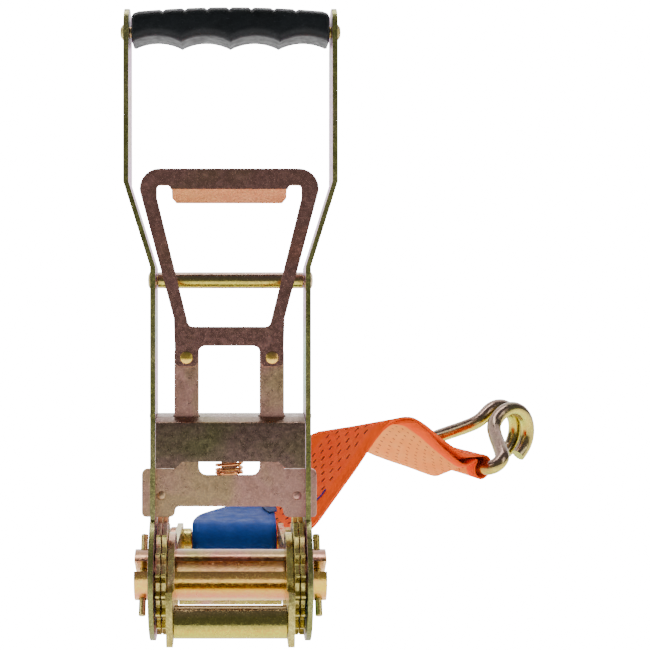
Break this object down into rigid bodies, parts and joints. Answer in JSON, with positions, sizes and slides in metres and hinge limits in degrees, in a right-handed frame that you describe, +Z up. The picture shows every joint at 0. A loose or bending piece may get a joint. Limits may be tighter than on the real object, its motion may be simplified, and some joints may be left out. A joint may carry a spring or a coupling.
{
  "type": "ratchet strap tensioner",
  "caption": "Long-handled ratchet tensioner for lashing webbing, standing open, with its sewn strap end, blank label and double-claw wire hook.",
  "frame": {"origin": "centre of the bounding box's bottom, on the table the tensioner stands on", "axes": "+Z up, the front seen in the picture faces -Y, +X to the right; the tensioner stands at the left and its strap runs back and right to the hook"},
  "size_m": [0.2672, 0.3466, 0.296],
  "materials": {
    "grip": "satin, ribbed",
    "plated_steel_olive": "yellow-passivated zinc plate, olive, slightly speckled",
    "plated_steel_rose": "yellow-passivated zinc plate, rose-brown",
    "plated_steel_gold": "yellow-passivated zinc plate, gold with pink and green tints",
    "spring_wire": "copper-gold plated wire",
    "webbing": "woven polyester webbing with rows of dark marks",
    "label_cloth": "smooth coated label, blank"
  },
  "bodies": {
    "base": {"base_plate_left": "plated_steel_olive", "base_plate_right": "plated_steel_olive", "front_spacer_tube": "plated_steel_gold", "front_rivet": "plated_steel_olive", "anchor_bolt": "plated_steel_gold", "anchor_nut": "plated_steel_olive", "anchor_collar": "plated_steel_olive", "base_cover_plate": "plated_steel_olive", "lock_pawl_spring": "spring_wire", "webbing_strap": "webbing", "strap_label": "label_cloth"},
    "handle": {"handle_arm_left": "plated_steel_olive", "handle_arm_right": "plated_steel_olive", "grip": "grip", "grip_rod": "plated_steel_olive", "crossbar_tube": "plated_steel_gold", "crossbar_rivet": "plated_steel_olive", "handle_cover_plate": "plated_steel_olive", "drive_pawl_spring": "spring_wire"},
    "drive_pawl": {"drive_pawl_plate": "plated_steel_rose", "release_handle": "plated_steel_rose", "release_rivet_left": "plated_steel_gold", "release_rivet_right": "plated_steel_gold"},
    "spindle": {"spindle_half_upper": "plated_steel_gold", "spindle_half_lower": "plated_steel_gold", "ratchet_wheel_left_inner": "plated_steel_olive", "ratchet_wheel_left_outer": "plated_steel_olive", "ratchet_wheel_right_inner": "plated_steel_olive", "ratchet_wheel_right_outer": "plated_steel_olive", "retaining_pin_left": "plated_steel_olive", "retaining_pin_right": "plated_steel_olive"},
    "lock_pawl": {"lock_pawl_plate": "plated_steel_rose"},
    "hook": {"double_hook": "plated_steel_gold"}
  },
  "joints": [
    {"name": "handle_swing", "type": "hinge", "parent": "base", "child": "handle", "pos_m": [-0.08107, -0.13566, 0.0305], "axis": [1, 0, 0], "range_deg": [-60, 80]},
    {"name": "spindle_spin", "type": "hinge", "parent": "base", "child": "spindle", "pos_m": [-0.08107, -0.13566, 0.0305], "axis": [1, 0, 0], "continuous": true},
    {"name": "drive_pawl_slide", "type": "slide", "parent": "handle", "child": "drive_pawl", "axis": [0, -0.1793, -0.9838], "range_m": [-0.014, 0.0035], "stiffness_N_per_m": 600, "springref_m": 0.0035, "deforming": ["drive_pawl_spring"]},
    {"name": "lock_pawl_slide", "type": "slide", "parent": "base", "child": "lock_pawl", "axis": [0, -0.9838, 0.1793], "range_m": [-0.008, 0.0035], "stiffness_N_per_m": 600, "springref_m": 0.0035, "deforming": ["lock_pawl_spring"]},
    {"name": "hook_swing", "type": "hinge", "parent": "base", "child": "hook", "pos_m": [0.07373, 0.12714, 0.0096], "axis": [-0.5712, 0.8202, -0.032], "range_deg": [-70, 60]}
  ]
}
